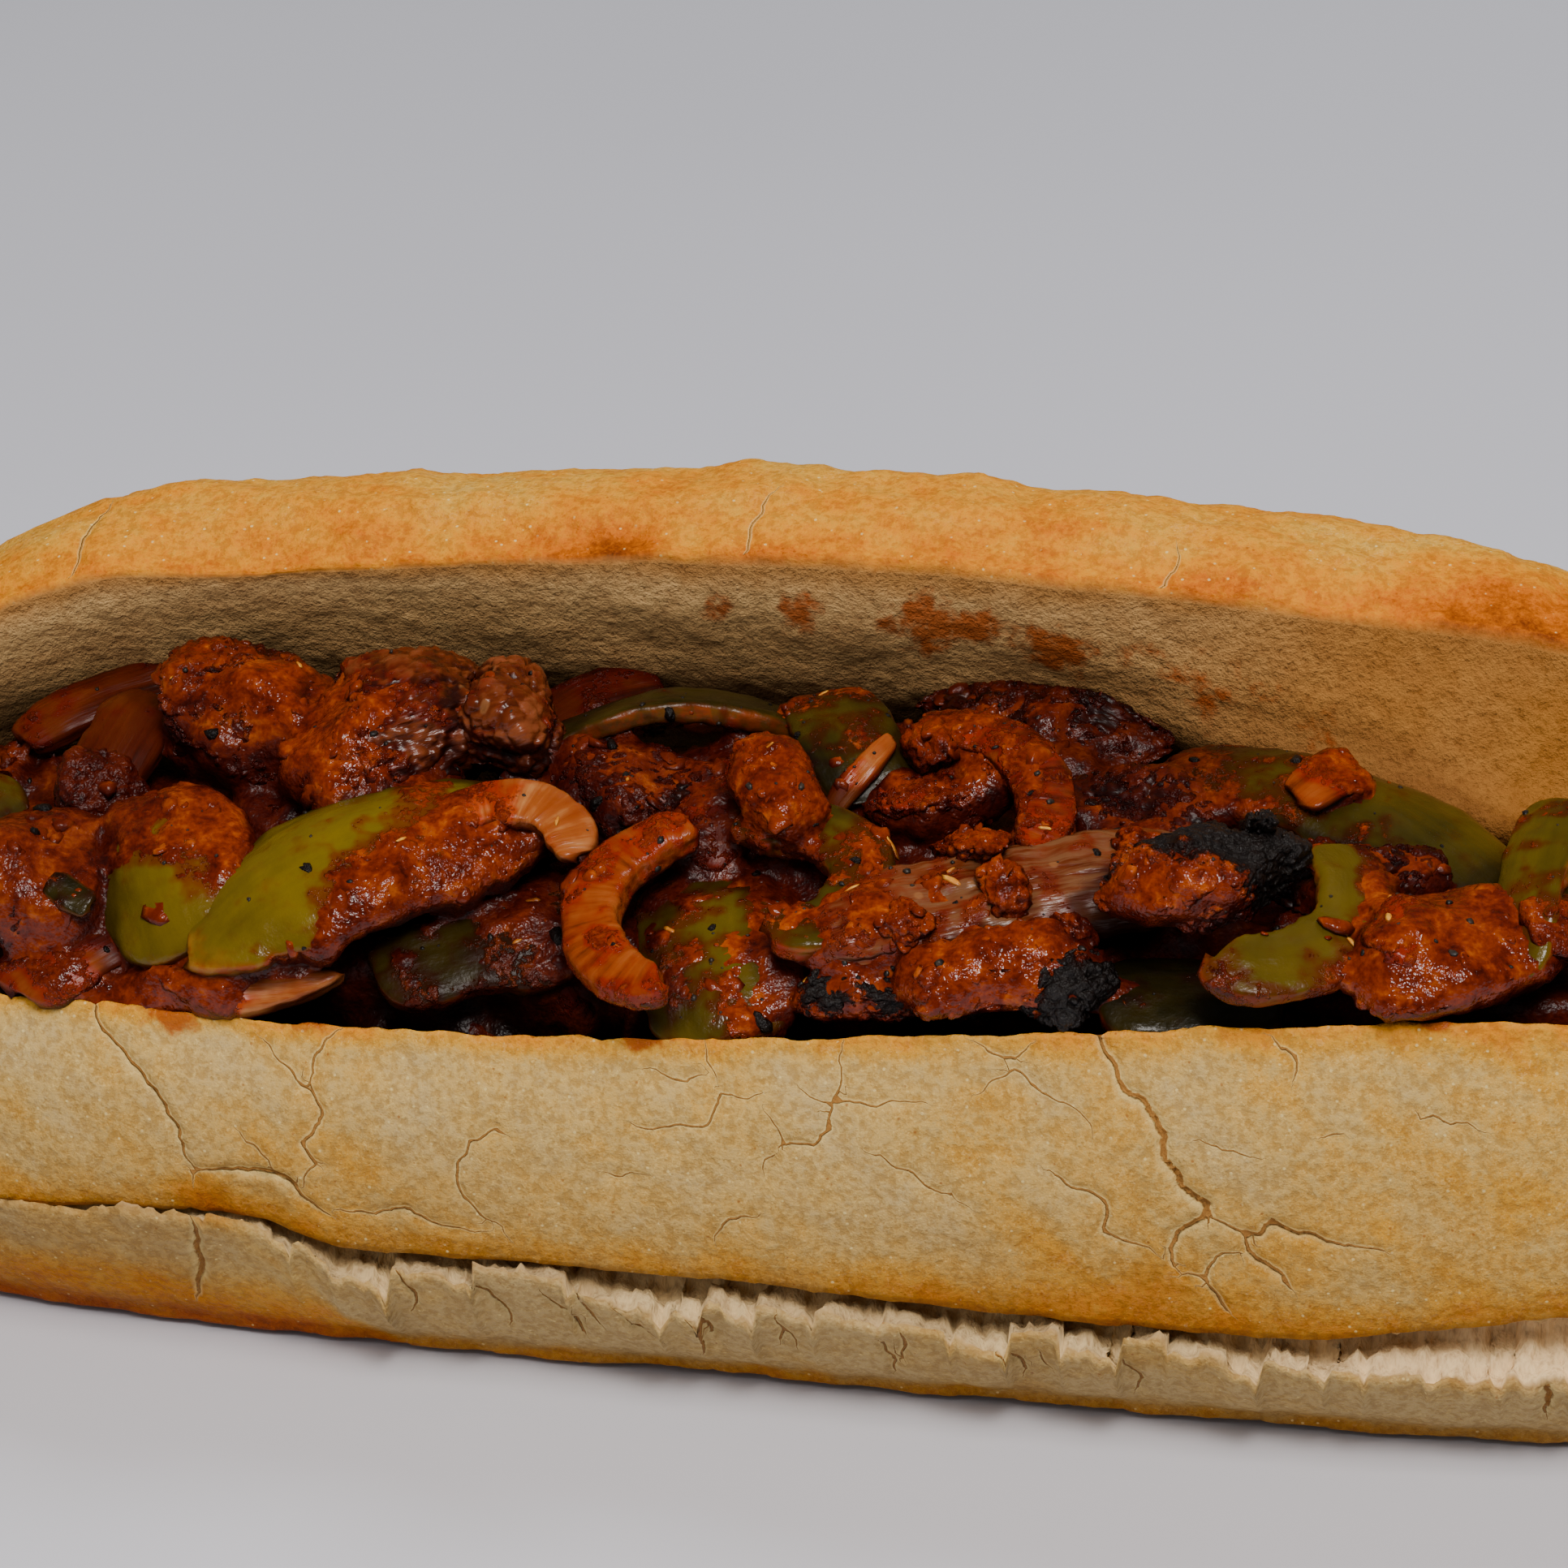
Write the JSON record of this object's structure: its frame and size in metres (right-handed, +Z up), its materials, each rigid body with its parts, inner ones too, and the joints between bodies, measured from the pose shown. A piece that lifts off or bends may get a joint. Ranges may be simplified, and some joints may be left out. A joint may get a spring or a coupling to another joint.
{
  "type": "hot roast beef sub sandwich",
  "caption": "Split crusty sub roll heaped with beef, green pepper and onion in tomato sauce, open along one long side and resting flat on its underside.",
  "frame": {"origin": "on the surface the sub stands on, under the middle of its bounding box", "axes": "+X along the roll's length, +Y from the open side to the uncut back, +Z up"},
  "size_m": [0.24, 0.077, 0.0715],
  "materials": {
    "crust": "floury baked crust, golden on the lid, pale on the front wall, with fine cracks",
    "sauce": "thick glossy tomato sauce with pulp",
    "pepper": "cooked green pepper skin, glossy, smeared with sauce",
    "onion": "soft translucent cooked onion, streaked along its length",
    "beef": "moist grained beef coated in sauce",
    "char": "black charred meat crust"
  },
  "bodies": {
    "root": {"roll": "crust", "filling_core": "sauce", "onion_curl": "onion", "onion_over_pepper": "onion", "pepper_wedge_big": "pepper", "onion_on_pepper": "onion", "onion_bit_right": "onion", "char_crust": "char", "pepper_wedge_small": "pepper", "beef_front": "beef", "beef_main": "beef", "pepper_fold": "pepper", "onion_arc": "onion", "pepper_slab_back": "pepper", "pepper_curl": "pepper", "beef_lobe": "beef", "beef_strip": "beef", "beef_left": "beef", "char_knob": "char", "pepper_arch": "pepper", "beef_dark": "beef", "beef_right": "beef", "pepper_slope_back": "pepper", "onion_ring_front": "onion", "onion_tip": "onion", "onion_mid": "onion", "pepper_wide": "pepper", "onion_clear": "onion", "onion_chopped": "onion", "beef_mid": "beef", "pepper_dark": "pepper", "onion_stood": "onion", "char_oval": "char", "pepper_shade": "pepper", "onion_under_lid": "onion", "tomato_front": "beef", "beef_gap": "beef", "beef_behind": "beef", "beef_back": "beef", "onion_back": "onion", "pepper_left_end": "pepper", "onion_left_end": "onion", "beef_left_end": "beef", "pepper_right_end": "pepper", "beef_right_end": "beef", "onion_right_end": "onion"}
  },
  "joints": []
}
